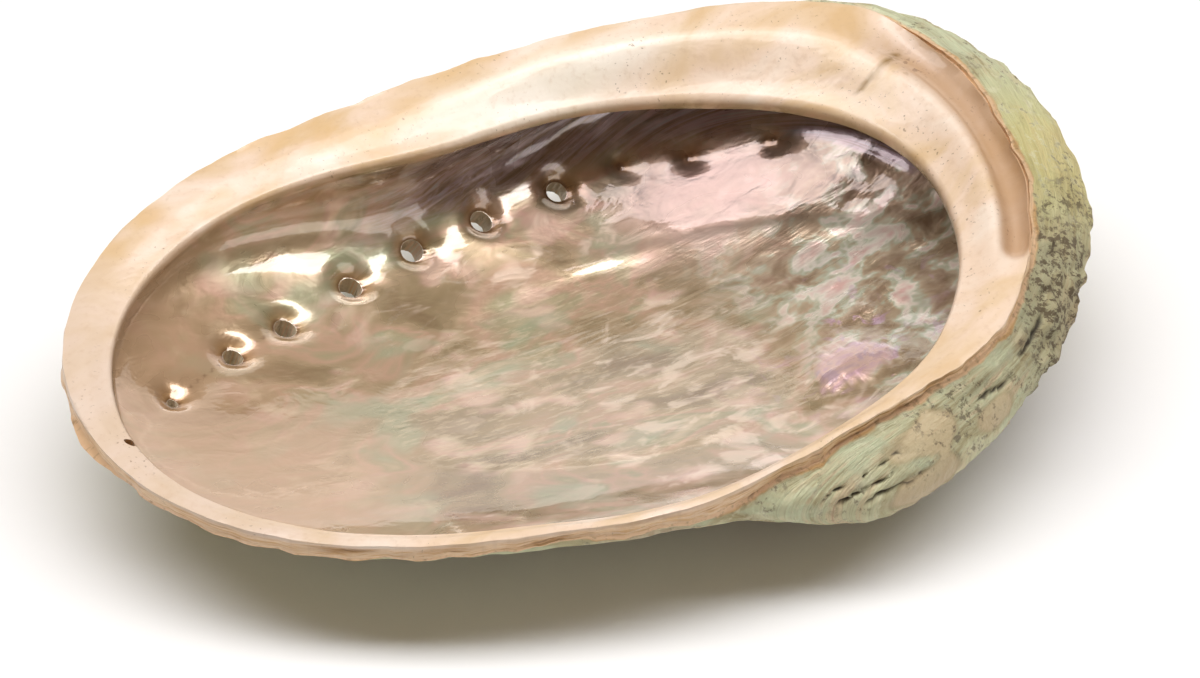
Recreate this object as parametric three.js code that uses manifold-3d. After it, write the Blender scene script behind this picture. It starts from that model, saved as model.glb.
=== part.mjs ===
// An abalone shell, lying on its dome with the open side up, in millimetres.
//
// The shell is drawn in its own frame first: X points to the spire end, Y to the shelf,
// and Z out of the mouth, with the rim near Z = 0. The wall is swept round the shell in
// columns, one for each angle round the rim. A column runs from the lowest point of the
// dome, up the outside, over the rim, across the shelf, and down the inside. The holes are
// then cut, and the whole shell is tilted to the way it lies at rest.
import * as THREE from "three";
import { mergeVertices } from "three/addons/utils/BufferGeometryUtils.js";
import Module from "manifold-3d";

// ---- Driving dimensions ----
const DOME_DEPTH = 34.5; // rim to the lowest point of the outside
const FLOOR_THICKNESS = 3.4; // of the wall at that lowest point
const LOWEST = new THREE.Vector2(40, 11); // where it lies under the mouth
const BOTTOM_RADIUS = new THREE.Vector2(84, 56); // curvature there, along X and along Y
const REST_UP = new THREE.Vector3(0.12, 0.095, 1); // the vertical, in the shell's frame
const WORN_FLAT = 0.25; // depth of the flat rubbed where the dome touches a table

// Values round the rim, one every 15 degrees, from the spire end by way of the shelf.
const RIM_RADIUS = [83.2, 84, 71.8, 61.6, 56.4, 53.7, 54, 57.5, 65.5, 74, 80.5, 81.5,
  78, 71, 63.5, 57.5, 55, 55, 54.5, 56.5, 63.5, 72, 75.3, 79];
const SHELF_WIDTH = [18.2, 25.5, 20.8, 15.6, 14.4, 14.7, 15.5, 14.5, 13.5, 11, 9, 6,
  4.2, 4, 3.6, 3.2, 2.8, 2.4, 2.2, 2.6, 5, 11, 11.8, 13.5];
// The shelf droops towards its inner edge, which is this thick below its top.
const SHELF_DROOP = [5.5, 6, 6, 5.5, 4.5, 3.5, 2.5, 1.8, 1.3, 1, 1, 1,
  1, 1, 1, 1, 1, 1, 1, 1, 1, 1.5, 3, 4.5];
const EDGE_THICKNESS = [2.4, 2.4, 2.2, 2, 2, 2, 2, 2, 2, 1.8, 1.6, 1.2,
  0.8, 0.6, 0.6, 0.6, 0.6, 0.8, 1, 1.2, 1.6, 2, 2.2, 2.4];
// The wall's profile leaves the rim towards a control point this far out of it and below it.
const OUTSIDE_FLARE = [37.5, 29.5, 16, 14, 12, 9, 6, 3, 1, -2, -5, -8,
  -12, -13, -14, -12, -7, -3.5, 15.5, 38.5, 32, 24, 33, 39.5];
const OUTSIDE_DROP = [15, 16, 18, 18, 17, 15, 14, 13, 12, 12, 12, 12,
  12, 12, 12, 13, 15, 13, 14, 19, 20, 18, 16, 15];
const INSIDE_FLARE = [54, 49, 38, 30, 27, 25, 20.5, 15.5, 10, 4, -1, -6,
  -11, -14, -15, -13, -8, -5.5, 8.5, 33.5, 29, 28, 42, 50];
const INSIDE_DROP = [16, 14, 14, 15, 17, 17, 16, 15, 13, 12, 10.5, 10,
  9.5, 9, 9, 9, 10, 10, 11, 16, 18, 17, 15.5, 15];

const RIM_ROUNDING = 1.2;
// A gutter runs along the outer half of the shelf at the spire end.
const GUTTER = { depth: 3.2, centre: 0.24, width: 0.17, from: -38, full: -33, fading: 2, to: 16 };

// The breathing holes: the angle round the shell, how far up the inside wall, and radius.
const HOLES = [
  { angle: 162.5, up: 0.807, radius: 0.9 },
  { angle: 154, up: 0.692, radius: 1.7 },
  { angle: 147.5, up: 0.619, radius: 1.9 },
  { angle: 134.5, up: 0.556, radius: 2.0 },
  { angle: 114, up: 0.539, radius: 2.0 },
  { angle: 79, up: 0.524, radius: 2.0 },
  { angle: 53.5, up: 0.441, radius: 1.9 },
];
// Older holes further along the row have been filled in by the shell.
const FILLED_HOLES = [
  { angle: 37.5, up: 0.383 },
  { angle: 28, up: 0.33 },
  { angle: 20, up: 0.361 },
];
const HOLE_SIDES = 12;
const HOLE_CUT = 16; // length of the cut through the wall
const RIDGE = { height: 2, width: 4.5, wall: 4.5 }; // raised outside along the row of holes
const SPIRE = { x: 33, y: -40, height: 2.4, width: 11 }; // the low knob of the oldest whorls

// Fineness of the mesh
const COLUMNS = 84;
const OUTER_RINGS = 13;
const INNER_RINGS = 12;
const SHELF_STEPS = [0.12, 0.2, 0.35, 0.5, 0.65, 0.8, 0.9, 1];

const wasm = await Module();
wasm.setup();

// ---- Small tools ----
const radians = THREE.MathUtils.degToRad;
const smoothstep = THREE.MathUtils.smoothstep;

// A closed cubic B-spline through the neighbourhood of evenly spaced values.
function around(values, angle) {
  const n = values.length;
  const place = (angle / (2 * Math.PI)) * n;
  const first = Math.floor(place);
  const t = place - first;
  const weights = [
    (1 - t) ** 3,
    3 * t ** 3 - 6 * t ** 2 + 4,
    -3 * t ** 3 + 3 * t ** 2 + 3 * t + 1,
    t ** 3,
  ];
  return weights.reduce((sum, w, k) => sum + w * values[(first + k - 1 + 2 * n) % n], 0) / 6;
}

function bezier(a, b, c, d, t) {
  const u = 1 - t;
  return u ** 3 * a + 3 * u * u * t * b + 3 * u * t * t * c + t ** 3 * d;
}

function polar(radius, angle) {
  return new THREE.Vector2(radius * Math.cos(angle), radius * Math.sin(angle));
}

// ---- The wall ----
// A point of a wall curve that leaves the lowest point level (t = 0) and ends at `end` (t = 1).
function wallPoint(end, endHeight, flare, drop, depth, t) {
  const out = end.clone().sub(LOWEST);
  const reach = out.length();
  out.divideScalar(reach);
  const curvature = out.x ** 2 / BOTTOM_RADIUS.x + out.y ** 2 / BOTTOM_RADIUS.y;
  const level = Math.sqrt(((2 / 3) * (depth - drop)) / curvature);
  const along = bezier(0, level, reach + flare, reach, t);
  const height = bezier(-depth, -depth, -drop, endHeight, t);
  return new THREE.Vector3(LOWEST.x + out.x * along, LOWEST.y + out.y * along, height);
}

const rimPoint = (angle) => polar(around(RIM_RADIUS, angle), angle);
const edgePoint = (angle) =>
  polar(around(RIM_RADIUS, angle) - around(SHELF_WIDTH, angle), angle);
const edgeHeight = (angle) => -around(SHELF_DROOP, angle) - around(EDGE_THICKNESS, angle);

const outsidePoint = (angle, t) =>
  wallPoint(rimPoint(angle), -RIM_ROUNDING, around(OUTSIDE_FLARE, angle),
    around(OUTSIDE_DROP, angle), DOME_DEPTH, t);

const insidePoint = (angle, t) =>
  wallPoint(edgePoint(angle), edgeHeight(angle), around(INSIDE_FLARE, angle),
    around(INSIDE_DROP, angle), DOME_DEPTH - FLOOR_THICKNESS, t);

// The direction out of the shell, square to a wall surface.
function outward(surface, angle, t) {
  const step = 0.01;
  const here = surface(angle, t);
  const round = surface(angle + step, t).sub(here);
  const up = surface(angle, t - step).sub(here);
  return up.cross(round).normalize();
}

function gutterDepth(angle) {
  const degrees = THREE.MathUtils.euclideanModulo(THREE.MathUtils.radToDeg(angle) + 180, 360) - 180;
  const start = smoothstep(degrees, GUTTER.from, GUTTER.full);
  return GUTTER.depth * start * (1 - smoothstep(degrees, GUTTER.fading, GUTTER.to));
}

// A point across the top of the rim and shelf: 0 is the rim's outer edge, 1 the underside
// of the shelf's inner edge.
function shelfPoint(angle, across) {
  const rim = rimPoint(angle);
  const edge = edgePoint(angle);
  const lip = 0.8; // past here the surface turns down round the inner edge
  const roundUntil = 0.12;
  const inward = across < roundUntil ? 0.03 * (across / roundUntil)
    : across < lip ? 0.03 + (0.9 * (across - roundUntil)) / (lip - roundUntil)
    : Math.min(1, 0.93 + (across - lip) * 0.7);
  let height = across < roundUntil ? -RIM_ROUNDING * (1 - across / roundUntil) ** 2 : 0;
  height -= gutterDepth(angle) * Math.exp(-(((inward - GUTTER.centre) / GUTTER.width) ** 2));
  height -= around(SHELF_DROOP, angle) * smoothstep(inward, 0.35, 1);
  height -= around(EDGE_THICKNESS, angle) * smoothstep(across, lip, 1) ** 1.5;
  const plan = rim.lerp(edge, inward);
  return new THREE.Vector3(plan.x, plan.y, height);
}

// ---- The row of holes, and what stands out of the dome ----
function holeFrame({ angle, up }) {
  const at = radians(angle);
  return { centre: insidePoint(at, up), axis: outward(insidePoint, at, up) };
}

const rowCurve = new THREE.CatmullRomCurve3(
  [...HOLES, ...FILLED_HOLES].map((hole) => {
    const { centre, axis } = holeFrame(hole);
    return centre.addScaledVector(axis, RIDGE.wall);
  }),
);
const rowPoints = rowCurve.getSpacedPoints(80);

function raised(point) {
  const offRow = Math.min(...rowPoints.map((p) => p.distanceTo(point)));
  const offSpire = Math.hypot(point.x - SPIRE.x, point.y - SPIRE.y);
  const bump = (distance, { height, width }) => height * Math.exp(-((distance / width) ** 2));
  return bump(offRow, RIDGE) + bump(offSpire, SPIRE) * smoothstep(-point.z, 8, 20);
}

function ridgedOutsidePoint(angle, t) {
  const point = outsidePoint(angle, t);
  return t < 1 ? point.addScaledVector(outward(outsidePoint, angle, t), raised(point)) : point;
}

// ---- The closed surface ----
function shellGeometry() {
  const rings = [];
  const addRing = (pointAt) => {
    const ring = [];
    for (let c = 0; c < COLUMNS; c++) ring.push(pointAt((2 * Math.PI * c) / COLUMNS));
    rings.push(ring);
  };
  for (let r = 1; r <= OUTER_RINGS; r++) addRing((a) => ridgedOutsidePoint(a, r / OUTER_RINGS));
  for (const across of SHELF_STEPS) addRing((a) => shelfPoint(a, across));
  for (let r = INNER_RINGS - 1; r > 0; r--) addRing((a) => insidePoint(a, r / INNER_RINGS));

  const points = [new THREE.Vector3(LOWEST.x, LOWEST.y, -DOME_DEPTH), ...rings.flat(),
    new THREE.Vector3(LOWEST.x, LOWEST.y, FLOOR_THICKNESS - DOME_DEPTH)];
  const last = points.length - 1;
  const vertex = (ring, column) => 1 + ring * COLUMNS + (column % COLUMNS);
  const faces = [];
  for (let c = 0; c < COLUMNS; c++) {
    faces.push(0, vertex(0, c + 1), vertex(0, c));
    for (let r = 0; r + 1 < rings.length; r++) {
      faces.push(vertex(r, c), vertex(r, c + 1), vertex(r + 1, c + 1));
      faces.push(vertex(r, c), vertex(r + 1, c + 1), vertex(r + 1, c));
    }
    faces.push(last, vertex(rings.length - 1, c), vertex(rings.length - 1, c + 1));
  }
  return new THREE.BufferGeometry().setFromPoints(points).setIndex(faces);
}

// ---- Solids ----
function toSolid(geometry) {
  const bare = geometry.clone();
  bare.deleteAttribute("normal");
  bare.deleteAttribute("uv");
  const merged = mergeVertices(bare, 1e-4);
  return new wasm.Manifold(
    new wasm.Mesh({
      numProp: 3,
      vertProperties: new Float32Array(merged.attributes.position.array),
      triVerts: new Uint32Array(merged.index.array),
    }),
  );
}

function toGeometry(solid) {
  const mesh = solid.getMesh();
  const geometry = new THREE.BufferGeometry();
  geometry.setAttribute("position", new THREE.BufferAttribute(mesh.vertProperties, 3));
  geometry.setIndex(new THREE.BufferAttribute(mesh.triVerts, 1));
  return geometry;
}

function holeCutter(hole) {
  const { centre, axis } = holeFrame(hole);
  const cutter = new THREE.CylinderGeometry(hole.radius, hole.radius, HOLE_CUT, HOLE_SIDES);
  const turn = new THREE.Quaternion().setFromUnitVectors(new THREE.Vector3(0, 1, 0), axis);
  return toSolid(cutter.applyQuaternion(turn).translate(centre.x, centre.y, centre.z));
}

// Turns the shell's frame to the way it lies: up becomes Z, and X keeps its heading.
function restTurn() {
  const up = REST_UP.clone().normalize();
  const ahead = new THREE.Vector3(1, 0, 0);
  ahead.addScaledVector(up, -ahead.dot(up)).normalize();
  const aside = up.clone().cross(ahead);
  return new THREE.Matrix4().makeBasis(ahead, aside, up).transpose();
}

function makeShell() {
  let solid = toSolid(shellGeometry());
  for (const hole of HOLES) solid = solid.subtract(holeCutter(hole));

  const lying = toGeometry(solid).applyMatrix4(restTurn());
  lying.computeBoundingBox();
  const { min, max } = lying.boundingBox;
  lying.translate(-(min.x + max.x) / 2, -(min.y + max.y) / 2, -min.z - WORN_FLAT);

  const below = 20;
  const table = new THREE.BoxGeometry(300, 300, below).translate(0, 0, -below / 2);
  const geometry = toGeometry(toSolid(lying).subtract(toSolid(table)));
  geometry.computeVertexNormals();
  const material = new THREE.MeshStandardMaterial({ color: 0xcbbfa4, roughness: 0.45, metalness: 0 });
  const shell = new THREE.Mesh(geometry, material);
  shell.name = "shell";
  return shell;
}

const abalone = new THREE.Group();
abalone.add(makeShell());

export default abalone;
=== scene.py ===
"""The looks of an abalone shell lying on its dome: nacre, shelf, holes, growth ridges and crusts.

Lengths are in millimetres in the shell's own frame until the mesh is made: X points to the
spire end, Y to the shelf, Z out of the mouth, with the rim near Z = 0. The finished mesh is
in metres, in the frame of the CAD model.
"""
import math

import bpy
import numpy as np
from mathutils import Matrix, Vector, kdtree


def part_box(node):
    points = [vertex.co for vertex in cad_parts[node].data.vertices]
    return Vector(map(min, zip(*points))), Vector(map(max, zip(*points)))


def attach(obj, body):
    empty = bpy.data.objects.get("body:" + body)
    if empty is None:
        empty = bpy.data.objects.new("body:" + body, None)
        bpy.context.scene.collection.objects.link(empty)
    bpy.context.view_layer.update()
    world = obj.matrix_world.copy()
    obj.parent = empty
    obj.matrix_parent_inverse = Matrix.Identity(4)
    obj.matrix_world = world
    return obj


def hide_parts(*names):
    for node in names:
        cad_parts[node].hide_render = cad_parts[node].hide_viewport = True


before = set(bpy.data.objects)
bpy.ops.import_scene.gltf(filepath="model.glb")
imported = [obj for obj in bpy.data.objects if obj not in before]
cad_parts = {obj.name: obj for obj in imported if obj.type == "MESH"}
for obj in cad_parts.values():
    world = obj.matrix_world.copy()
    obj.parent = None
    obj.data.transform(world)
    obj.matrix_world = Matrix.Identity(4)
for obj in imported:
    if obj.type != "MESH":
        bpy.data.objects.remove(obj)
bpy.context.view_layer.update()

MM = 0.001

# ---- The shell's form, as in the CAD model ----
DOME_DEPTH = 34.5
FLOOR_THICKNESS = 3.4
LOWEST = np.array([40.0, 11.0])
BOTTOM_RADIUS = np.array([84.0, 56.0])
REST_UP = Vector((0.12, 0.095, 1.0)).normalized()
WORN_FLAT = 0.25

# Values round the rim, one every 15 degrees, from the spire end by way of the shelf.
RIM_RADIUS = [83.2, 84, 71.8, 61.6, 56.4, 53.7, 54, 57.5, 65.5, 74, 80.5, 81.5,
              78, 71, 63.5, 57.5, 55, 55, 54.5, 56.5, 63.5, 72, 75.3, 79]
SHELF_WIDTH = [18.2, 25.5, 20.8, 15.6, 14.4, 14.7, 15.5, 14.5, 13.5, 11, 9, 6,
               4.2, 4, 3.6, 3.2, 2.8, 2.4, 2.2, 2.6, 5, 11, 11.8, 13.5]
SHELF_DROOP = [5.5, 6, 6, 5.5, 4.5, 3.5, 2.5, 1.8, 1.3, 1, 1, 1,
               1, 1, 1, 1, 1, 1, 1, 1, 1, 1.5, 3, 4.5]
EDGE_THICKNESS = [2.4, 2.4, 2.2, 2, 2, 2, 2, 2, 2, 1.8, 1.6, 1.2,
                  0.8, 0.6, 0.6, 0.6, 0.6, 0.8, 1, 1.2, 1.6, 2, 2.2, 2.4]
OUTSIDE_FLARE = [37.5, 29.5, 16, 14, 12, 9, 6, 3, 1, -2, -5, -8,
                 -12, -13, -14, -12, -7, -3.5, 15.5, 38.5, 32, 24, 33, 39.5]
OUTSIDE_DROP = [15, 16, 18, 18, 17, 15, 14, 13, 12, 12, 12, 12,
                12, 12, 12, 13, 15, 13, 14, 19, 20, 18, 16, 15]
INSIDE_FLARE = [54, 49, 38, 30, 27, 25, 20.5, 15.5, 10, 4, -1, -6,
                -11, -14, -15, -13, -8, -5.5, 8.5, 33.5, 29, 28, 42, 50]
INSIDE_DROP = [16, 14, 14, 15, 17, 17, 16, 15, 13, 12, 10.5, 10,
               9.5, 9, 9, 9, 10, 10, 11, 16, 18, 17, 15.5, 15]
RIM_ROUNDING = 1.2
GUTTER_DEPTH, GUTTER_CENTRE, GUTTER_WIDTH = 3.2, 0.24, 0.17
GUTTER_START, GUTTER_FADE = (-38, -33), (2, 16)  # degrees round the rim

# The breathing holes, oldest last: angle round the shell, how far up the inside wall, radius.
OPEN_HOLES = [(162.5, 0.807, 0.9), (154, 0.692, 1.7), (147.5, 0.619, 1.9), (134.5, 0.556, 2.0),
              (114, 0.539, 2.0), (79, 0.524, 2.0), (53.5, 0.441, 1.9)]
FILLED_HOLES = [(37.5, 0.383), (28, 0.33), (20, 0.361)]
PIT_RADIUS, PIT_STAIN = 0.5, 0.15
APEX = np.array([33.0, -40.0])  # the oldest point of the shell, under the dome

# ---- Fineness ----
COLUMNS = 520
OUTSIDE_ROWS = 84
SHELF_ROWS = 27
EDGE_ROWS = 9  # of those, on the rim's outer edge
INSIDE_ROWS = 74


# ---- Small tools ----
def smoothstep(x, low, high):
    t = np.clip((x - low) / (high - low), 0, 1)
    return t * t * (3 - 2 * t)


def bump(distance, height, width):
    return height * np.exp(-((distance / width) ** 2))


def around(values, angle):
    """A closed cubic B-spline through the neighbourhood of evenly spaced values."""
    v = np.asarray(values, float)
    place = angle / (2 * np.pi) * len(v)
    first = np.floor(place).astype(int)
    t = place - first
    weights = ((1 - t) ** 3, 3 * t**3 - 6 * t**2 + 4, -3 * t**3 + 3 * t**2 + 3 * t + 1, t**3)
    return sum(w * v[(first + k - 1) % len(v)] for k, w in enumerate(weights)) / 6


def bezier(a, b, c, d, t):
    u = 1 - t
    return u**3 * a + 3 * u * u * t * b + 3 * u * t * t * c + t**3 * d


def lattice(ix, iy, iz, seed):
    """A repeatable number from 0 to 1 for each whole-numbered point."""
    h = (ix * 374761393 + iy * 668265263 + iz * 2147483647 + seed * 1274126177) & 0xFFFFFFFF
    h = ((h ^ (h >> 13)) * 1103515245) & 0xFFFFFFFF
    h = ((h ^ (h >> 16)) * 2654435761) & 0xFFFFFFFF
    return (h ^ (h >> 15)) / 0xFFFFFFFF


def noise(points, size, seed, octaves=1):
    """Smooth noise from -1 to 1 with blobs of about `size`."""
    total, weight = 0.0, 0.0
    for octave in range(octaves):
        p = points / (size * 0.5**octave) + 100.0
        i = np.floor(p).astype(np.int64)
        f = p - i
        f = f * f * (3 - 2 * f)
        value = 0.0
        for dx in (0, 1):
            for dy in (0, 1):
                for dz in (0, 1):
                    share = np.ones(p.shape[:-1])
                    for axis, side in enumerate((dx, dy, dz)):
                        share = share * (f[..., axis] if side else 1 - f[..., axis])
                    value = value + share * lattice(i[..., 0] + dx, i[..., 1] + dy,
                                                    i[..., 2] + dz, seed + octave)
        total = total + (2 * value - 1) * 0.5**octave
        weight += 0.5**octave
    return total / weight


def stack(x, y, z):
    return np.stack(np.broadcast_arrays(x, y, z), -1)


# ---- The wall's surfaces ----
def ring_point(radius, angle):
    return np.stack([radius * np.cos(angle), radius * np.sin(angle)], -1)


def rim_plan(angle):
    return ring_point(around(RIM_RADIUS, angle), angle)


def edge_plan(angle):
    return ring_point(around(RIM_RADIUS, angle) - around(SHELF_WIDTH, angle), angle)


def wall(end, end_height, flare, drop, depth, t):
    """Points of wall curves that leave the lowest point level (t = 0) and finish at `end`."""
    out = end - LOWEST
    reach = np.hypot(out[..., 0], out[..., 1])
    out = out / reach[..., None]
    curvature = (out**2 / BOTTOM_RADIUS).sum(-1)
    level = np.sqrt(2 / 3 * (depth - drop) / curvature)
    along = bezier(0, level, reach + flare, reach, t)
    height = bezier(-depth, -depth, -drop, end_height, t)
    return np.concatenate([LOWEST + out * along[..., None], height[..., None]], -1)


def outside(angle, t):
    angle, t = np.broadcast_arrays(angle, t)
    return wall(rim_plan(angle), -edge_face(angle), around(OUTSIDE_FLARE, angle),
                around(OUTSIDE_DROP, angle), DOME_DEPTH, t)


def inside(angle, t):
    angle, t = np.broadcast_arrays(angle, t)
    edge_height = -around(SHELF_DROOP, angle) - around(EDGE_THICKNESS, angle)
    return wall(edge_plan(angle), edge_height, around(INSIDE_FLARE, angle),
                around(INSIDE_DROP, angle), DOME_DEPTH - FLOOR_THICKNESS, t)


def edge_face(angle):
    """Height of the rim's outer edge, deepest where the lip is layered, at the front end."""
    return RIM_ROUNDING + 1.5 * np.clip(np.cos(angle - math.radians(205)) * 1.8 + 0.1, 0, 1)


def gutter(angle):
    degrees = (np.degrees(angle) + 180) % 360 - 180
    return GUTTER_DEPTH * smoothstep(degrees, *GUTTER_START) * (1 - smoothstep(degrees, *GUTTER_FADE))


def shelf(angle, across):
    """The top of rim and shelf: 0 is the rim's outer edge, 1 the underside of the inner edge."""
    angle, across = np.broadcast_arrays(angle, across)
    inward = np.interp(across, [0, 0.12, 0.8, 0.9, 1], [0, 0.03, 0.93, 1, 1])
    height = -edge_face(angle) * (1 - np.minimum(across / 0.12, 1)) ** 1.6
    across_gutter = (inward - GUTTER_CENTRE) / np.where(inward < GUTTER_CENTRE, 2.0, 1.0) / GUTTER_WIDTH
    height = height - gutter(angle) * np.exp(-(across_gutter**2)) * smoothstep(inward, -0.1, 0.1)
    height = height - around(SHELF_DROOP, angle) * smoothstep(inward, 0.35, 1)
    height = height - around(EDGE_THICKNESS, angle) * smoothstep(across, 0.8, 1) ** 1.5
    rim, edge = rim_plan(angle), edge_plan(angle)
    return np.concatenate([rim + (edge - rim) * inward[..., None], height[..., None]], -1)


def hole_frame(degrees, up):
    """Centre of a hole on the inside wall, and the direction out through the wall."""
    at, step = math.radians(degrees), 0.01
    here = inside(np.array(at), np.array(up))
    round_ = inside(np.array(at + step), np.array(up)) - here
    down = inside(np.array(at), np.array(up - step)) - here
    axis = np.cross(down, round_)
    return here, axis / np.linalg.norm(axis)


open_frames = [hole_frame(*hole[:2]) for hole in OPEN_HOLES]
filled_frames = [hole_frame(*hole) for hole in FILLED_HOLES]


# ---- The closed grid: up the outside, over the rim and shelf, down the inside ----
angles = np.arange(COLUMNS) * 2 * np.pi / COLUMNS
outside_t = 1 - (1 - np.linspace(0, 1, OUTSIDE_ROWS + 1)[1:]) ** 1.45
shelf_t = np.concatenate([np.linspace(0, 0.12, EDGE_ROWS + 1)[1:],
                          np.linspace(0.12, 1, SHELF_ROWS - EDGE_ROWS + 1)[1:]])
inside_t = np.linspace(1, 0, INSIDE_ROWS + 1)[1:-1]
base = np.concatenate([
    outside(angles[None, :], outside_t[:, None]),
    shelf(angles[None, :], shelf_t[:, None]),
    inside(angles[None, :], inside_t[:, None]),
])
rows = len(base)
row = np.arange(rows)[:, None] * np.ones((1, COLUMNS))
is_outside = row < OUTSIDE_ROWS
is_shelf = (row >= OUTSIDE_ROWS) & (row < OUTSIDE_ROWS + SHELF_ROWS)
is_inside = row >= OUTSIDE_ROWS + SHELF_ROWS
across = np.where(is_outside, 0.0, 1.0)
across[OUTSIDE_ROWS:OUTSIDE_ROWS + SHELF_ROWS] = shelf_t[:, None]
grid_angle = angles[None, :] * np.ones((rows, 1))

round_step = np.roll(base, -1, 1) - np.roll(base, 1, 1)
down_step = np.gradient(base, axis=0)
normals = np.cross(round_step, down_step)
normals /= np.linalg.norm(normals, axis=-1)[..., None]

# Distance along the wall from the rim's outer edge
step_length = np.linalg.norm(np.diff(base, axis=0), axis=-1)
walked = np.concatenate([np.zeros((1, COLUMNS)), np.cumsum(step_length, 0)])
from_rim = walked - walked[OUTSIDE_ROWS - 1]  # negative outside, positive over the shelf and inside
walked_over_shelf = walked[OUTSIDE_ROWS + SHELF_ROWS - 1] - walked[OUTSIDE_ROWS - 1]

# Growth lines are copies of the rim, shrunk towards the apex.
about = base[..., :2] - APEX
apex_distance = np.hypot(about[..., 0], about[..., 1])
heading = np.arctan2(about[..., 1], about[..., 0])
rim_about = rim_plan(np.linspace(0, 2 * np.pi, 721)) - APEX
rim_heading = np.unwrap(np.arctan2(rim_about[:, 1], rim_about[:, 0]))
rim_distance = np.hypot(rim_about[:, 0], rim_about[:, 1])


def rim_reach(direction):
    wrapped = (direction - rim_heading[0]) % (2 * np.pi) + rim_heading[0]
    return np.interp(wrapped, rim_heading, rim_distance)


TWIST = 0.35  # how far the shell turned while it grew e-fold
age = np.log(np.maximum(apex_distance, 0.5) / rim_reach(heading))
spiral = heading - TWIST * age
age = np.log(np.maximum(apex_distance, 0.5) / rim_reach(spiral))
age_point = stack(age * 60, np.cos(spiral) * 20, np.sin(spiral) * 20)


def beyond_holes(frames, radii, points):
    """Distance from the edge of the nearest hole, measured square to its axis."""
    best = np.full(points.shape[:-1], 1e3)
    for (centre, axis), radius in zip(frames, radii):
        offset = points - centre
        along = offset @ axis
        side = np.linalg.norm(offset - along[..., None] * axis, axis=-1) - radius
        best = np.minimum(best, np.where(np.abs(along) < 11, side, 1e3))
    return best


def row_curve():
    """Points along the row of holes, on the inside wall."""
    centres = np.array([centre for centre, _ in open_frames + filled_frames])
    first = centres[0] + (centres[0] - centres[1]) * 0.8
    centres = np.vstack([first, centres])
    at = np.arange(len(centres))
    fine = np.linspace(0, len(centres) - 1, 500)
    return np.stack([np.interp(fine, at, centres[:, axis]) for axis in range(3)], -1)


def distance_to_curve(points, curve):
    best = np.full(points.shape[:-1], 1e3)
    for point in curve:
        best = np.minimum(best, np.linalg.norm(points - point, axis=-1))
    return best


open_radii = [hole[2] for hole in OPEN_HOLES]
open_distance = beyond_holes(open_frames, open_radii, base)
filled_distance = beyond_holes(filled_frames, [0.0] * len(filled_frames), base)
off_row = distance_to_curve(base, row_curve())


def spot(x, y, radius, stretch=1.0, turn=0.0):
    """1 at a place in plan, fading to 0 over an oval."""
    c, s = math.cos(math.radians(turn)), math.sin(math.radians(turn))
    u = (base[..., 0] - x) * c + (base[..., 1] - y) * s
    v = -(base[..., 0] - x) * s + (base[..., 1] - y) * c
    return np.exp(-((u / (radius * stretch)) ** 2 + (v / radius) ** 2))


# ---- Relief on the outside ----
rim_ring = stack(np.cos(grid_angle) * 70, np.sin(grid_angle) * 70, 0.0)
scattered_crust = 0.5 * smoothstep(noise(base, 16, 41, 3), 0.2, 0.5)
crust_mask = np.clip(spot(62, -49, 8, 1.8, 45) * 2.0 + scattered_crust, 0, 1) * is_outside


def stroke(x_from, x_to, depth_below, width):
    """A dark crease on the near side, running along the rim between two places in X."""
    line = -from_rim - depth_below - 1.8 * noise(base, 5, 23, 3)
    width = width * (0.5 + 0.7 * noise(base, 2.6, 25, 2))
    x = base[..., 0]
    gate = smoothstep(x, x_from, x_from + 3) * (1 - smoothstep(x, x_to - 3, x_to))
    return bump(line, 1, np.maximum(width, 0.1)) * gate * (base[..., 1] < -30)


crease_mask = np.clip(stroke(32, 43, 5.5, 0.8) + stroke(44, 56, 5.0, 0.9) + stroke(2, 20, 6.5, 0.5)
                      + stroke(4, 17, 8.3, 0.45) + stroke(8, 22, 10, 0.4), 0, 1) * is_outside


def worn(x, y, z, long, short):
    """An oval where the crust is rubbed away, long in X."""
    offset = base - np.array([x, y, z])
    far = np.hypot(offset[..., 0] / long, np.hypot(offset[..., 1], offset[..., 2]) / short)
    return (1 - smoothstep(far + 0.5 * noise(base, 5, 27, 3), 0.65, 1.15)) * is_outside


worn_mask = np.clip(worn(22.5, -60, -4.5, 8, 3.2) + worn(20.5, -64.5, -9.5, 8, 3.4)
                    + worn(36, -61, -7, 6, 3.2), 0, 1)


SHEET_DEPTHS = (0.9, 1.9, 3.1, 4.6)  # how far from the rim each thin outer sheet ends


def sheet_edges():
    """How many of the thin outer sheets are passed, going away from the rim."""
    passed = 0.0
    for number, depth_below in enumerate(SHEET_DEPTHS):
        at = depth_below + 1.1 * noise(rim_ring + number * 7.7, 9, 101 + number, 4)
        passed = passed + smoothstep(-from_rim, at - 0.15, at + 0.15)
    return passed


sheets_passed = sheet_edges() * is_outside


SEAM_GROWTH, SEAM_START = 0.42, 34  # how fast the seam between whorls widens, and from where


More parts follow.
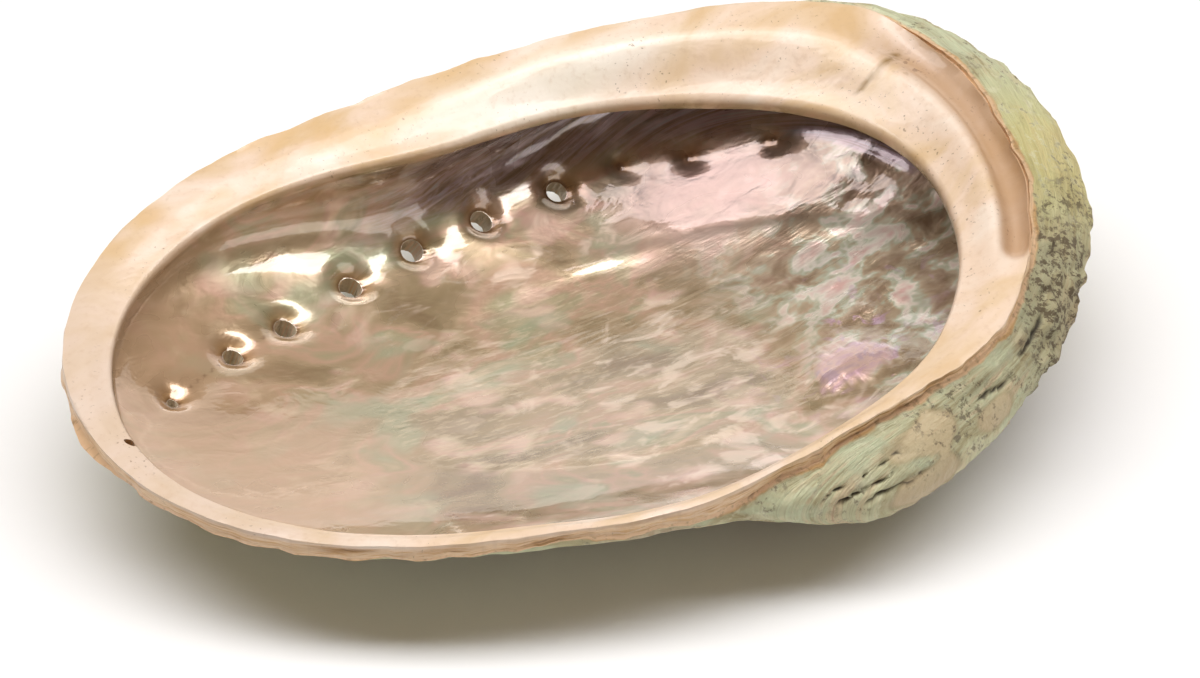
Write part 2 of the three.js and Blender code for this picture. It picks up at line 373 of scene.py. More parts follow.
def outside_relief():
    # The holes' row stands out as a ridge, as far through the wall as it is thick there.
    ridge = bump(np.maximum(off_row - 3.5, 0), 2.0, 4.0)
    chimneys = bump(open_distance - 0.9, 0.9, 1.1) + bump(filled_distance, 0.7, 2.2)
    low = smoothstep(-base[..., 2], 6, 16)
    knob = bump(apex_distance, 2.4, 11) * low
    # The seam between the whorls, winding in to the apex
    widened = np.log(np.maximum(apex_distance, 0.3) / SEAM_START) / SEAM_GROWTH
    turns = (heading + np.pi - widened) / (2 * np.pi)
    to_seam = np.abs(turns - np.round(turns)) * 2 * np.pi * SEAM_GROWTH * apex_distance
    seam = -bump(to_seam, 1.0, 1.3) * smoothstep(turns, -0.02, 0.1) * low
    seam = seam * smoothstep(-apex_distance, -34, -20)
    # Overlapping sheets of growth, steep on the side of the rim
    growth = age * 16 + noise(age_point, 9, 3, 3) * 1.1
    saw = growth - np.floor(growth)
    lamellae = (saw**2 - 0.33) * 0.55 * (0.5 + 0.5 * noise(base, 17, 5, 2))
    fine = np.sin(age * 330 + noise(age_point, 6, 8, 2) * 5) * 0.07
    cords = np.sin(spiral * 52 + noise(base, 20, 9)) * 0.13
    waves = noise(age_point * np.array([1, 0.35, 0.35]), 7, 12, 2) * 0.7
    lumps = noise(base, 5, 14, 3) * 0.35
    crust = (smoothstep(noise(base, 2.6, 31, 3), -0.1, 0.5) - 0.4) * 1.1 * crust_mask
    ledges = sheets_passed * 0.28 * np.exp(np.minimum(from_rim, 0) / 14)
    fade = smoothstep(-from_rim, 0.2, 4.0)
    rough = (lamellae + fine + cords + waves + lumps) * (1 - 0.8 * worn_mask)
    return ridge + chimneys + knob + seam + (rough + crust - 0.9 * crease_mask) * fade + ledges


# ---- Relief on the inside ----
from_edge = from_rim - walked_over_shelf
deep = smoothstep(from_edge, 1.0, 8.0)
right_third = smoothstep(base[..., 0], 26, 48) * is_inside


# Where the big highlight falls: less mottled relief, and a plain pink tone that tints the highlight (painted
# highlight tint)
highlight_patch = spot(47, 24, 11, 1.6)
# The wall under the shelf, beyond the row of holes and the line that carries it on to the spire end; folds
# and painted shade go here
row_places = np.array([centre[:2] for centre, _ in open_frames + filled_frames] + [[72, 14], [76, 0]])
beyond_row = base[..., 1] - np.interp(base[..., 0], row_places[:, 0], row_places[:, 1])
wall_band = smoothstep(beyond_row, 0.5, 5) * smoothstep(base[..., 0], -22, 4) * is_inside
# A round blister on the near side
off_blister = np.hypot((base[..., 0] - 38) / 7.5, (base[..., 1] + 27) / 5.5)
blister_mask = (1 - smoothstep(off_blister + 0.35 * noise(base, 4, 63, 2), 0.85, 1.0)) * is_inside
# A low bank along the scar's far edge, from the hole row to the middle
bank_line = np.array([[-34.0, 10], [-11, 21], [14, 22.5], [34, 19]])
off_bank = base[..., 1] - np.interp(base[..., 0], bank_line[:, 0], bank_line[:, 1])
along_bank = smoothstep(base[..., 0], -34, -14) * (1 - smoothstep(base[..., 0], 20, 40))
near_lip = smoothstep(-np.abs((np.degrees(grid_angle) - 205) / 50), -1.0, -0.4)

# Wrinkled nacre about the blister, and the muscle's wide scar in the middle
rough_mask = spot(46, -24, 15, 1.1) * 1.3 * smoothstep(noise(base, 9, 71, 2), -0.35, 0.15)
rough_mask = np.clip(rough_mask, 0, 1) * is_inside
off_scar = np.hypot((base[..., 0] - 14) / 50, (base[..., 1] + 4) / 27)
scar_mask = smoothstep(1.0 - off_scar, -0.03, 0.05) * is_inside


def inside_relief():
    channel = -bump(off_row, 0.7, 4.0) - bump(off_row, 0.15, 0.6) * smoothstep(-base[..., 0], 30, 45)
    dimples = -bump(np.maximum(open_distance, 0), 1.3, 1.7) - bump(filled_distance, 0.9, 2.4)
    blister = 1.3 * np.exp(-(off_blister**3.2)) - 1.4 * blister_mask * (1 - blister_mask)
    crinkle = noise(base, 2.4, 51, 3) * 0.30 * rough_mask
    mottle = noise(base, 6.5, 53, 3) * 0.34 * right_third * (1 - highlight_patch)
    ripple = noise(base * np.array([0.6, 1, 1]), 13, 55, 2) * 0.20
    scar = 0.25 * scar_mask
    fibres = noise(base * np.array([0.05, 1, 1]), 1.5, 61, 2) * 0.07 * scar_mask
    lip_lines = np.sin(age * 190 + noise(age_point, 8, 66, 2) * 4) * 0.012 * near_lip
    bank = smoothstep(off_bank, -2.2, 2.2) * np.exp(-np.maximum(off_bank, 0) / 9) * along_bank
    pearl = channel + dimples + blister + crinkle + mottle + ripple + scar + fibres + lip_lines + bank
    # Long folds along the wall under the shelf
    along_wall = stack(from_edge, np.cos(grid_angle) * 9, np.sin(grid_angle) * 9)
    folds = noise(along_wall, 4.5, 68, 2) * 0.5 * wall_band
    return pearl * deep + folds * smoothstep(from_edge, 0.5, 3)


# ---- Relief of the rim and shelf ----
# An old crack crosses the shelf, curving inwards from near the rim's edge.
crack_ends = np.array([[77.0, 9.5, 0], [74.5, 7.5, 0], [70.5, 7.0, 0], [66.7, 7.6, 0]])
CRACK = bezier(*crack_ends, np.linspace(0, 1, 24)[:, None])
off_crack = distance_to_curve(base * np.array([1, 1, 0]), CRACK)
along_crack = smoothstep(-base[..., 0], -77, -67)
on_shelf_top = is_shelf & (base[..., 0] > 0)
crack_width = 0.65 - 0.3 * along_crack
crack_mask = bump(off_crack, 1, crack_width) * on_shelf_top
crack_dirt = spot(77, 5.5, 3.2) * on_shelf_top


def shelf_relief():
    swell = noise(base * np.array([1, 1, 0.2]), 12, 81, 2) * 0.18
    grain = noise(base, 2.2, 83, 2) * 0.05
    on_edge = 1 - smoothstep(across, 0.07, 0.13)
    along_edge = stack(base[..., 2], rim_ring[..., 0] / 9, rim_ring[..., 1] / 9)
    layers = noise(along_edge, 0.8, 87, 3) * 0.5
    return swell + grain + layers * on_edge


relief = np.where(is_outside, outside_relief(), np.where(is_inside, inside_relief(), shelf_relief()))
surface = base + normals * relief[..., None]

# The rim is chipped and wavy, most of all on the thin outer lip.
thin = 0.6 + 0.4 * smoothstep(-np.abs((np.degrees(grid_angle) - 235) / 75), -1.2, -0.6)
near_edge = bump(from_rim, 1, 2.2) * thin
lip_ring = stack(np.cos(grid_angle) * 76, np.sin(grid_angle) * 76, 0.0)
outward = base[..., :2] / np.linalg.norm(base[..., :2], axis=-1)[..., None]
surface[..., :2] += outward * (noise(lip_ring, 7, 91, 4) * near_edge * 1.5)[..., None]
surface[..., 2] += noise(lip_ring + np.array([0, 0, 9]), 16, 95, 3) * near_edge * 1.2

# ---- From the shell's frame to the resting frame ----
ahead = Vector((1, 0, 0))
ahead = (ahead - REST_UP * ahead.dot(REST_UP)).normalized()
turn = np.array([ahead, REST_UP.cross(ahead), REST_UP])
cad_low, cad_high = (np.array(corner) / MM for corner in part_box("shell"))


def rested(points):
    return np.asarray(points) @ turn.T


plain = rested(base)
low, high = plain.reshape(-1, 3).min(0), plain.reshape(-1, 3).max(0)
to_cad = (cad_low + cad_high) / 2 - (low + high) / 2
to_cad[2] = cad_low[2] - low[2] - WORN_FLAT


def placed(points):
    """Shell-frame millimetres to metres in the CAD model's frame."""
    return (rested(points) + to_cad) * MM


# ---- The mesh ----
def mesh_object(name, vertices, faces):
    mesh = bpy.data.meshes.new(name)
    mesh.from_pydata([tuple(v) for v in vertices], [], faces)
    mesh.update()
    made = bpy.data.objects.new(name, mesh)
    bpy.context.scene.collection.objects.link(made)
    return made


def closed_faces(ring_count, around_count):
    """Quads between rings, with a fan at each end: vertex 0 and the last one are the poles."""
    faces = []
    last = 1 + ring_count * around_count
    for c in range(around_count):
        n = (c + 1) % around_count
        faces.append((0, 1 + n, 1 + c))
        top = 1 + (ring_count - 1) * around_count
        faces.append((last, top + c, top + n))
    c = np.arange(around_count)
    n = (c + 1) % around_count
    for r in range(ring_count - 1):
        a, b = 1 + r * around_count, 1 + (r + 1) * around_count
        faces.extend(zip((a + c).tolist(), (a + n).tolist(), (b + n).tolist(), (b + c).tolist()))
    return faces


rise = (surface - base)[..., 2].mean(1)
bottom = [*LOWEST, -DOME_DEPTH + rise[0]]
top = [*LOWEST, FLOOR_THICKNESS - DOME_DEPTH + rise[-1]]
vertices = placed(np.vstack([bottom, surface.reshape(-1, 3), top]))
vertices[:, 2] = np.maximum(vertices[:, 2], 0.0)  # rubbed flat where it touches the table
shell = mesh_object("abalone_shell", vertices, closed_faces(rows, COLUMNS))


# ---- Values that the materials read ----
def with_poles(values):
    return np.concatenate([[values[0].mean()], values.reshape(-1), [values[-1].mean()]])


fields = {
    "outer": with_poles(is_outside.astype(float)),
    "across": with_poles(across),
    "from_rim": with_poles(from_rim),
    "from_edge": with_poles(from_edge),
    "age": with_poles(age),
    "spiral_x": with_poles(np.cos(spiral)),
    "spiral_y": with_poles(np.sin(spiral)),
    "row": with_poles(off_row),
    "crust": with_poles(crust_mask),
    "crease": with_poles(crease_mask),
    "worn": with_poles(worn_mask),
    "sheets": with_poles(sheets_passed),
    "rough": with_poles(rough_mask),
    "scar": with_poles(scar_mask),
    "right": with_poles(right_third * (1 - highlight_patch)),
    "wall": with_poles(wall_band),
    "blister": with_poles(blister_mask),
    "smooth": with_poles(np.clip(highlight_patch * 1.3, 0, 1) * is_inside * (1 - wall_band)),
    "crack": with_poles(crack_mask),
    "crack_dirt": with_poles(crack_dirt),
    "gutter": with_poles(gutter(grid_angle) / GUTTER_DEPTH),
    "ring_x": with_poles(np.cos(grid_angle)),
    "ring_y": with_poles(np.sin(grid_angle)),
    "place_x": with_poles(base[..., 0]),
    "place_y": with_poles(base[..., 1]),
    "place_z": with_poles(base[..., 2]),
}

tree = kdtree.KDTree(len(vertices))
for index, vertex in enumerate(vertices):
    tree.insert(vertex, index)
tree.balance()


# ---- The holes ----
CUTTER_SIDES, CUTTER_REACH = 40, 9
# The newest hole is still a slot in the shelf, by the lip: centre, direction, half width and length.
NEWEST_HOLE = (np.array([-74.3, 10.4, -1.0]), np.array([-0.25, 0.1, -1.0]), (0.6, 1.2))


def cutter(centre, axis, half_sizes):
    """An oval rod through the wall."""
    rotation = Vector(turn @ axis).to_track_quat("Z", "Y").to_matrix().to_4x4()
    place = Matrix.Translation(Vector(placed(centre))) @ rotation
    n = CUTTER_SIDES
    steps = np.arange(n) * 2 * math.pi / n
    ring = [(half_sizes[0] * math.cos(step), half_sizes[1] * math.sin(step)) for step in steps]
    points = [place @ (Vector((x, y, z)) * MM) for z in (-CUTTER_REACH, CUTTER_REACH) for x, y in ring]
    faces = [(k, (k + 1) % n, n + (k + 1) % n, n + k) for k in range(n)]
    faces += [tuple(range(n))[::-1], tuple(range(n, 2 * n))]
    return mesh_object("cutter", points, faces)


def cut_holes(target):
    cuts = [(*hole, (radius, radius)) for hole, radius in zip(open_frames, open_radii)]
    cutters = [cutter(*cut) for cut in cuts + [NEWEST_HOLE]]
    for rod in cutters:
        cut = target.modifiers.new("hole", "BOOLEAN")
        cut.object = rod
        cut.operation = "DIFFERENCE"
        cut.solver = "MANIFOLD"
    depsgraph = bpy.context.evaluated_depsgraph_get()
    cut_mesh = bpy.data.meshes.new_from_object(target.evaluated_get(depsgraph))
    target.modifiers.clear()
    old = target.data
    target.data = cut_mesh
    bpy.data.meshes.remove(old)
    for rod in cutters:
        bpy.data.objects.remove(rod)


cut_holes(shell)
mesh = shell.data
mesh.name = "abalone_shell"
nearest = np.array([tree.find(v.co)[1] for v in mesh.vertices])
for name, values in fields.items():
    attribute = mesh.attributes.new(name, "FLOAT", "POINT")
    attribute.data.foreach_set("value", values[nearest].astype(np.float32))
# How far past the edge of a hole each point lies; a filled hole counts as a small pit
in_shell = (np.array([v.co for v in mesh.vertices]) / MM - to_cad) @ turn
past_pit = beyond_holes(filled_frames, [PIT_RADIUS] * len(filled_frames), in_shell) + PIT_STAIN
past_edge = np.minimum(beyond_holes(open_frames, open_radii, in_shell), past_pit)
mesh.attributes.new("hole", "FLOAT", "POINT").data.foreach_set("value", past_edge.astype(np.float32))
mesh.shade_smooth()
mesh.set_sharp_from_angle(angle=math.radians(55))


# ---- Material tools ----
class Graph:
    """A short way to write a material's nodes."""

    def __init__(self, name):
        self.material = bpy.data.materials.new(name)
        self.material.use_nodes = True
        self.tree = self.material.node_tree
        self.tree.nodes.clear()

    def add(self, kind, inputs=None, **settings):
        node = self.tree.nodes.new(kind)
        for key, value in settings.items():
            setattr(node, key, value)
        for key, value in (inputs or {}).items():
            self.put(node.inputs[key], value)
        return node

    def put(self, socket, value):
        if isinstance(value, bpy.types.NodeSocket):
            self.tree.links.new(value, socket)
        else:
            socket.default_value = value

    def field(self, name):
        return self.add("ShaderNodeAttribute", attribute_name=name).outputs["Fac"]

    def vector(self, x, y, z):
        return self.add("ShaderNodeCombineXYZ", {"X": x, "Y": y, "Z": z}).outputs[0]

    def math(self, operation, a, b):
        return self.add("ShaderNodeMath", {0: a, 1: b}, operation=operation).outputs[0]

    def sum(self, a, b):
        return self.math("ADD", a, b)

    def times(self, a, b):
        return self.math("MULTIPLY", a, b)

    def flipped(self, value):
        return self.math("SUBTRACT", 1.0, value)

    def noise(self, vector, scale, detail=2.0, roughness=0.5, distortion=0.0):
        inputs = {"Vector": vector, "Scale": scale, "Detail": detail,
                  "Roughness": roughness, "Distortion": distortion}
        return self.add("ShaderNodeTexNoise", inputs).outputs["Fac"]

    def blobs(self, place, size, *details):
        """Noise with blobs of about the given size along X, Y and Z."""
        scale = tuple(1 / length for length in size)
        sized = self.add("ShaderNodeMapping", {"Vector": place, "Scale": scale}).outputs[0]
        return self.noise(sized, 1.0, *details)

    def steps(self, value, low, high):
        """0 below low, 1 above high, smooth between."""
        return self.add("ShaderNodeMapRange", {"Value": value, "From Min": low, "From Max": high},
                        interpolation_type="SMOOTHSTEP", clamp=True).outputs[0]

    def blend(self, factor, a, b, kind="FLOAT"):
        node = self.add("ShaderNodeMix", data_type=kind)
        for name, value in (("Factor", factor), ("A", a), ("B", b)):
            self.put(node.inputs[name], value)
        return node.outputs["Result"]

    def mix(self, factor, a, b):
        return self.blend(factor, a, b, "RGBA")

    def lay(self, colour, over, mask, amount):
        """A colour with another laid over it where a mask is bright."""
        return self.mix(self.times(mask, amount), colour, over)

    def ramp(self, value, stops):
        node = self.add("ShaderNodeValToRGB", {"Fac": value})
        points = node.color_ramp.elements
        while len(points) < len(stops):
            points.new(0.5)
        for point, (position, colour) in zip(points, stops):
            point.position = position
            point.color = colour
        return node.outputs["Color"]

    def bump(self, height, strength, distance):
        inputs = {"Height": height, "Strength": strength, "Distance": distance}
        return self.add("ShaderNodeBump", inputs).outputs["Normal"]

    def finish(self, **sockets):
        inputs = {key.replace("_", " "): value for key, value in sockets.items()}
        shader = self.add("ShaderNodeBsdfPrincipled", inputs)
        self.tree.links.new(shader.outputs[0], self.add("ShaderNodeOutputMaterial").inputs["Surface"])
        return self.material


def rgb(red, green, blue):
    """A colour as the eye reads it (0 to 255), as the renderer wants it."""
    linear = [((value / 255 + 0.055) / 1.055) ** 2.4 for value in (red, green, blue)]
    return (*linear, 1.0)


# ---- Nacre, with the shelf and the rim's flat top ----
def shell_place(g):
    """Where a point lies in the shell's frame, in millimetres."""
    return g.vector(g.field("place_x"), g.field("place_y"), g.field("place_z"))


def round_the_ring(g, height, height_scale, ring_scale):
    """A place round the rim and across it, for marks that run along the rim."""
    return g.vector(g.times(height, height_scale), g.times(g.field("ring_x"), ring_scale),
                    g.times(g.field("ring_y"), ring_scale))


def towards_front(g, start, end):
    """0 before one distance towards the front end, 1 past the other."""
    return g.steps(g.times(g.field("place_x"), -1.0), start, end)


def near_hole(g, start, end):
    """1 at a breathing hole's edge, 0 beyond."""
    return g.flipped(g.steps(g.field("hole"), start, end))


def with_painted_light_bores(g, colour):
    """The cut wall inside a hole is painted pale: painted light, as if the lit floor showed through the
    hole.
    """
    return g.lay(colour, rgb(222, 210, 188), near_hole(g, 0.02, 0.10), 0.9)


def nacre_colour(g, place):
    cloud = g.blobs(place, (20, 12, 12), 3, 0.5, 0.7)
    patch = g.blobs(place, (11, 7, 7), 3, 0.5, 0.5)
    colour = g.ramp(cloud, [(0.30, rgb(142, 120, 92)), (0.42, rgb(160, 142, 110)),
                            (0.50, rgb(178, 156, 126)), (0.57, rgb(194, 162, 138)),
                            (0.64, rgb(168, 158, 126)), (0.76, rgb(212, 192, 162))])
    colour = g.lay(colour, rgb(238, 222, 192), g.steps(patch, 0.52, 0.72), 0.6)
    pink = g.blobs(place, (11.54, 6.92, 6.92), 2, 0.5, 0.4)
    colour = g.lay(colour, rgb(226, 176, 172), g.steps(pink, 0.54, 0.68), 0.35)
    green = g.blobs(place, (17.5, 10, 10), 2, 0.5, 0.4)
    colour = g.lay(colour, rgb(158, 178, 148), g.steps(green, 0.54, 0.68), 0.45)
    bright = g.steps(g.blobs(place, (9, 5, 5), 3, 0.55, 0.6), 0.54, 0.66)
    bright = g.times(bright, g.steps(g.field("place_x"), -40, 5))
    colour = g.lay(colour, rgb(246, 226, 206), bright, 0.55)
    lines = g.blobs(place, (30, 0.9, 0.9), 4, 0.65)
    lines = g.times(g.steps(lines, 0.50, 0.62), g.steps(g.field("scar"), 0.05, 0.6))
    colour = g.lay(colour, rgb(226, 208, 178), lines, 0.35)
    # Warm and plain towards the front end
    front = towards_front(g, 28, 62)
    colour = g.lay(colour, rgb(190, 156, 124), front, 0.75)
    # Mottled nacre at the spire end; its near-white flecks are painted glints
    fleck = g.blobs(place, (8.5, 6.5, 6.5), 3, 0.6, 0.35)
    mottle_and_glints = g.ramp(fleck, [(0.32, rgb(122, 96, 70)), (0.42, rgb(158, 136, 112)),
                             (0.49, rgb(190, 172, 146)), (0.54, rgb(200, 210, 188)),
                             (0.58, rgb(252, 246, 234)), (0.70, rgb(236, 194, 190))])
    colour = g.lay(colour, mottle_and_glints, g.field("right"), 0.75)
    # Painted highlight tint: a plain pink tone where the big highlight falls
    colour = g.lay(colour, rgb(196, 166, 156), g.field("smooth"), 0.75)
    lilac = g.steps(g.blobs(place, (4.0, 4.0, 4.0), 2, 0.5, 0.8), 0.56, 0.66)
    colour = g.lay(colour, rgb(206, 168, 196), g.times(lilac, g.field("rough")), 0.7)
    pearl = g.ramp(g.blobs(place, (4.5, 3.5, 3.5), 3, 0.55, 0.4),
                   [(0.36, rgb(196, 168, 184)), (0.5, rgb(226, 190, 182)), (0.62, rgb(212, 174, 190))])
    colour = g.lay(colour, pearl, g.field("blister"), 0.8)
    # Painted shade on the wall under the shelf's overhang: dark browns and greys, with streaks along the
    # wall
    streak = g.noise(round_the_ring(g, g.field("from_edge"), 0.45, 2.2), 2.2, 3, 0.6, 0.6)
    painted_shade_wall = g.ramp(streak, [(0.30, rgb(84, 62, 50)), (0.44, rgb(118, 94, 84)),
                                (0.52, rgb(134, 118, 128)), (0.60, rgb(156, 136, 148)),
                                (0.68, rgb(138, 146, 156)), (0.78, rgb(196, 178, 182))])
    colour = g.lay(colour, painted_shade_wall, g.field("wall"), 0.85)
    # The fine seam from hole to hole at the front, and the stain round each hole
    seam = g.flipped(g.steps(g.field("row"), 0.15, 0.55))
    seam = g.times(seam, towards_front(g, 28, 45))
    colour = g.lay(colour, rgb(122, 92, 66), seam, 0.7)
    colour = g.lay(colour, rgb(160, 116, 58), near_hole(g, 0.3, 2.6), 0.6)
    colour = g.lay(colour, rgb(98, 64, 28), near_hole(g, 0.1, 0.9), 0.8)
    # The bores get painted light, pale as if lit through the hole.
    return with_painted_light_bores(g, colour), cloud


def shelf_colour(g, place):
    cloud = g.blobs(place, (24, 15, 15), 4, 0.55, 0.8)
    colour = g.ramp(cloud, [(0.32, rgb(208, 176, 132)), (0.45, rgb(218, 192, 160)),
                            (0.55, rgb(226, 202, 180)), (0.68, rgb(232, 216, 200))])
    # Golden patches along the far side
    patchy = g.steps(g.blobs(place, (18, 10, 10)), 0.42, 0.6)
    golden = g.times(g.steps(g.field("place_y"), 28, 50), patchy)
    colour = g.lay(colour, rgb(208, 170, 108), golden, 0.6)
    # Painted highlight: a near-white band along the middle of the far side's second half, standing in for
    # the lamp's sheen
    pale = g.times(g.steps(g.field("place_x"), -6, 24), g.steps(g.field("place_y"), 30, 40))
    pale = g.times(pale, g.steps(g.sum(g.field("across"), g.times(cloud, 0.3)), 0.35, 0.7))
    colour = g.lay(colour, rgb(246, 242, 232), pale, 0.8)
    # A greyer front end
    front = towards_front(g, 50, 72)
    colour = g.lay(colour, rgb(208, 190, 176), front, 0.55)
    gutter_here = g.times(g.field("gutter"), g.flipped(g.steps(g.field("across"), 0.36, 0.50)))
    colour = g.lay(colour, rgb(172, 136, 100), gutter_here, 0.85)
    # The rim's outer edge shows its sheets
    edge_line = round_the_ring(g, g.field("place_z"), 1.7, 7.0)
    sheets = g.ramp(g.noise(edge_line, 1.0, 4, 0.65),
                    [(0.34, rgb(160, 118, 66)), (0.43, rgb(212, 168, 114)),
                     (0.52, rgb(234, 206, 170)), (0.62, rgb(216, 174, 118))])
    on_edge = g.flipped(g.steps(g.field("across"), 0.05, 0.10))
    colour = g.lay(colour, sheets, on_edge, 0.9)
    lines = g.blobs(place, (1.4, 1.4, 9), 3, 0.6)
    colour = g.lay(colour, rgb(190, 158, 126), g.steps(lines, 0.5, 0.75), 0.25)
    specks = g.steps(g.blobs(place, (0.7, 0.7, 0.7), 2, 0.6), 0.64, 0.72)
    specks = g.times(specks, g.steps(g.blobs(place, (12, 12, 12)), 0.45, 0.62))
    colour = g.lay(colour, rgb(110, 84, 56), specks, 0.6)
    # The old crack across the shelf where the gutter fades, with brown specks beside it
    broken = g.steps(g.blobs(place, (2.5, 2.5, 2.5), 2), 0.3, 0.45)
    crack = g.times(g.field("crack"), broken)
    colour = g.mix(crack, colour, rgb(128, 96, 30))
    dirty = g.steps(g.blobs(place, (1.3, 1.3, 1.3), 2, 0.6), 0.53, 0.62)
    dirty = g.times(g.field("crack_dirt"), dirty)
    return g.lay(colour, rgb(112, 78, 48), dirty, 0.7)


def nacre_material():
    g = Graph("nacre")
    place = shell_place(g)
    inner, cloud = nacre_colour(g, place)
    on_shelf = g.flipped(g.steps(g.field("across"), 0.86, 1.0))
    colour = g.mix(on_shelf, inner, shelf_colour(g, place))
    wave = g.blobs(place, (9, 5, 5), 3, 0.55, 0.5)
    fibres = g.blobs(place, (26, 0.7, 0.7), 3, 0.6)
    crinkled = g.blobs(place, (1.6, 1.6, 1.6), 3, 0.6, 0.5)
    height = g.sum(wave, g.times(g.times(crinkled, g.field("rough")), 1.2))
    height = g.sum(height, g.times(g.times(fibres, g.field("scar")), 0.35))
    roughness = g.blend(g.steps(cloud, 0.3, 0.7), 0.24, 0.34)
    return g.finish(Base_Color=colour, Normal=g.bump(height, 0.35, 0.0007),
                    Metallic=g.blend(on_shelf, 0.42, 0.0), Roughness=g.blend(on_shelf, roughness, 0.42),
                    Coat_Weight=g.blend(on_shelf, 1.0, 0.2), Coat_Roughness=0.05, Coat_IOR=1.65,
                    Coat_Normal=g.bump(height, 0.12, 0.0005))


# ---- The chalky outside, with its horny edge ----
def outside_material():
    g = Graph("outside")
    place = shell_place(g)
    age_line = g.vector(g.times(g.field("age"), 14.0), g.field("spiral_x"), g.field("spiral_y"))
    bands = g.noise(age_line, 2.2, 4, 0.6, 0.3)
    colour = g.ramp(bands, [(0.30, rgb(156, 142, 104)), (0.42, rgb(188, 182, 144)),
                            (0.52, rgb(206, 208, 172)), (0.62, rgb(212, 200, 164)),
                            (0.74, rgb(206, 178, 148))])
    patches = g.blobs(place, (14, 14, 9), 4, 0.55, 0.6)
    colour = g.lay(colour, rgb(200, 212, 180), g.steps(patches, 0.50, 0.60), 0.55)
    colour = g.lay(colour, rgb(208, 178, 152), g.steps(g.blobs(place, (19, 19, 12), 3, 0.5), 0.55, 0.7), 0.5)
    # Yellow-green beside the end of the gutter
    near_gutter = g.times(g.steps(g.field("place_x"), 58, 70), g.steps(g.field("place_y"), -46, -30))
    near_gutter = g.times(near_gutter, g.flipped(g.steps(g.field("place_y"), -22, 4)))
    colour = g.lay(colour, rgb(214, 204, 128), near_gutter, 0.6)
    # Fine threads of growth and a mottle of dirt
    threads = g.noise(age_line, 16.0, 4, 0.7)
    colour = g.lay(colour, rgb(164, 152, 110), g.steps(threads, 0.5, 0.68), 0.5)
    mottle = g.steps(g.blobs(place, (2.6, 2.6, 2.6), 4, 0.7), 0.52, 0.66)
    colour = g.lay(colour, rgb(226, 224, 194), mottle, 0.5)
    worn = g.field("worn")
    border = g.times(g.steps(worn, 0.05, 0.4), g.flipped(g.steps(worn, 0.6, 0.95)))
    colour = g.lay(colour, rgb(192, 172, 136), g.steps(worn, 0.3, 0.8), 0.8)
    colour = g.lay(colour, rgb(140, 124, 84), border, 0.35)
    # Dirt in pits, and the creases darkened near-black
    pit_noise = g.blobs(place, (1.3, 1.3, 1.3), 4, 0.7)
    pits = g.steps(g.sum(pit_noise, g.times(g.field("crust"), 0.07)), 0.53, 0.64)
    clusters = g.steps(g.blobs(place, (9, 9, 9), 3, 0.6), 0.45, 0.6)
    dirt = g.times(pits, g.blend(g.field("crust"), g.times(clusters, 0.75), 0.95))
    colour = g.lay(colour, rgb(156, 142, 104), g.field("crust"), 0.55)
    colour = g.lay(colour, rgb(84, 66, 42), dirt, 0.9)
    colour = g.lay(colour, rgb(52, 42, 28), g.steps(g.field("crease"), 0.25, 0.9), 0.9)
    # The layered edge: tan, orange and brown sheets under the flat rim
    sheet = g.math("DIVIDE", g.field("sheets"), len(SHEET_DEPTHS))
    layer_colour = g.ramp(sheet, [(0.0, rgb(226, 190, 150)), (0.25, rgb(202, 162, 108)),
                                  (0.5, rgb(222, 192, 146)), (0.75, rgb(160, 132, 86)),
                                  (1.0, rgb(200, 190, 154))])
    fleck = g.blobs(place, (1.2, 1.2, 1.2), 3, 0.6)
    layer_colour = g.lay(layer_colour, rgb(120, 84, 42), g.steps(fleck, 0.5, 0.7), 0.5)
    beyond = g.sum(g.field("from_rim"), g.times(g.blobs(place, (5, 5, 5), 3, 0.6), 2.2))
    horny = g.steps(beyond, -0.1, 0.5)
    colour = g.mix(horny, colour, layer_colour)
    colour = g.lay(colour, rgb(96, 74, 44), near_hole(g, 0.2, 1.2), 0.7)
    # The bores get painted light, pale as if lit through the hole.
    colour = with_painted_light_bores(g, colour)
    grain = g.blobs(place, (1.4, 1.4, 1.4), 4, 0.6)
    layers = g.noise(age_line, 12.0, 4, 0.65)
    height = g.sum(g.times(grain, 0.5), g.times(layers, g.flipped(g.times(worn, 0.8))))
    return g.finish(Base_Color=colour, Normal=g.bump(height, 0.8, 0.0007),
                    Roughness=g.blend(g.math("MAXIMUM", horny, worn), 0.72, 0.42))


mesh.materials.clear()
mesh.materials.append(nacre_material())
mesh.materials.append(outside_material())
# A face is outside when nearly half of its corners or more are
corner_vertices = np.empty(len(mesh.loops), int)
mesh.loops.foreach_get("vertex_index", corner_vertices)
starts = np.array([polygon.loop_start for polygon in mesh.polygons])
corner_counts = np.diff(np.append(starts, len(corner_vertices)))
corner_is_outer = fields["outer"][nearest][corner_vertices]
outside_share = np.add.reduceat(corner_is_outer, starts) / corner_counts
mesh.polygons.foreach_set("material_index", (outside_share > 0.45).astype(np.int32))
mesh.update()

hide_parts("shell")
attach(shell, "root")


# ---- Floor ----
FLOOR_REACH = 15.0  # metres from the shell to each side


def floor():
    g = Graph("floor")
    tone = g.noise(g.add("ShaderNodeTexCoord").outputs["Object"], 3.0, 2, 0.5)
    white = g.mix(tone, (0.86, 0.87, 0.89, 1), (0.88, 0.89, 0.91, 1))
    material = g.finish(Base_Color=white, Roughness=0.6)
    corners = [(x * FLOOR_REACH, y * FLOOR_REACH, 0) for x, y in ((-1, -1), (1, -1), (1, 1), (-1, 1))]
    made = mesh_object("floor", corners, [(0, 1, 2, 3)])
    made.data.materials.append(material)


floor()


# ---- Light ----
# Directions about the shell: SIDE is to the right of the view, DEEP away from it, both level.
SIDE, DEEP, UP = Vector((0.80, -0.60, 0)), Vector((0.60, 0.80, 0)), Vector((0, 0, 1))

SHELL_MIDDLE = Vector((0, 0, 0.02))
# The shell casts no shadow from the lights that name this collection.
unblocked = bpy.data.collections.new("unblocked")
unblocked.objects.link(shell)
unblocked.collection_objects[0].light_linking.link_state = "EXCLUDE"


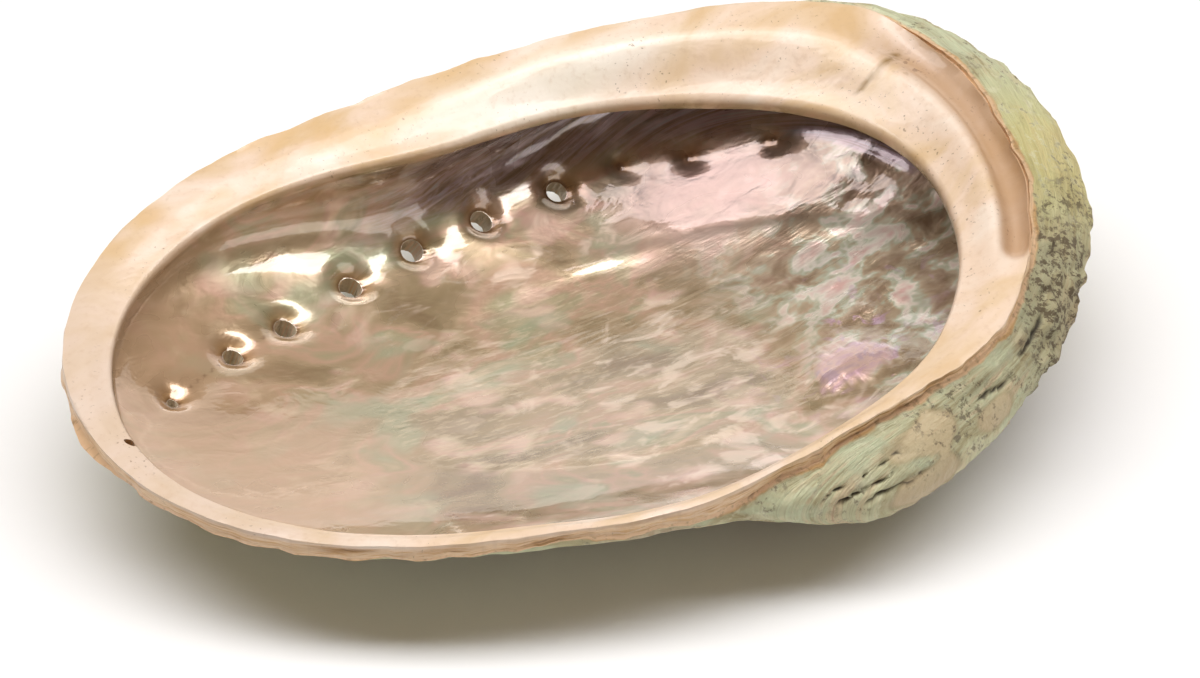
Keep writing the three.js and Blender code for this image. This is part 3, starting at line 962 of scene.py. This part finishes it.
def card(name, side, deep, up, size, radiance, colour=(1, 1, 1), gleam_only=False):
    """A soft light of a given brightness, aimed at the shell; its long side runs along SIDE."""
    light = bpy.data.lights.new(name, "AREA")
    light.shape = "RECTANGLE"
    light.size, light.size_y = size
    light.energy = radiance * math.pi * size[0] * size[1]
    light.color = colour
    made = bpy.data.objects.new(name, light)
    bpy.context.scene.collection.objects.link(made)
    if gleam_only:  # it lights only what shines, and the shell's own edges don't hide it
        made.visible_diffuse = False
        made.light_linking.blocker_collection = unblocked
    made.location = SIDE * side + DEEP * deep + UP * up
    back = (made.location - SHELL_MIDDLE).normalized()
    along = (SIDE - back * SIDE.dot(back)).normalized()
    made.rotation_euler = Matrix((along, back.cross(along), back)).transposed().to_euler()


card("key", 0.0, 0.05, 1.0, (2.1, 0.37), 7.3)
card("gleam", 0.0, 0.25, 1.0, (0.62, 0.42), 3.7, (1.0, 0.90, 0.92), gleam_only=True)
card("backdrop", 0.0, 1.3, 0.42, (1.8, 0.75), 0.75, gleam_only=True)
card("near_card", 0.62, -0.45, 0.16, (0.6, 0.3), 1.6, gleam_only=True)
world = bpy.data.worlds.new("world")
world.use_nodes = True
background = world.node_tree.nodes["Background"]
background.inputs["Color"].default_value = (1.0, 0.68, 0.40, 1)
background.inputs["Strength"].default_value = 0.18
bpy.context.scene.world = world
bpy.context.scene.view_settings.view_transform = "Standard"

# ---- Camera ----
CAMERA_AIM = Vector((-0.0095, -0.0067, 0.0205))
CAMERA_HEADING, CAMERA_HEIGHT, CAMERA_ROLL = 36.5, 36.9, -0.8  # degrees
CAMERA_DISTANCE, CAMERA_LENS = 0.451, 85


def camera():
    lens = bpy.data.cameras.new("camera")
    lens.lens = CAMERA_LENS
    lens.sensor_width = 36
    made = bpy.data.objects.new("camera", lens)
    bpy.context.scene.collection.objects.link(made)
    turned, raised = math.radians(CAMERA_HEADING), math.radians(CAMERA_HEIGHT)
    look = Vector((math.sin(turned), math.cos(turned), -math.tan(raised))).normalized()
    made.location = CAMERA_AIM - look * CAMERA_DISTANCE
    level = look.to_track_quat("-Z", "Y").to_matrix()
    roll = Matrix.Rotation(math.radians(CAMERA_ROLL), 3, look)
    made.rotation_euler = (roll @ level).to_euler()
    bpy.context.scene.camera = made


camera()
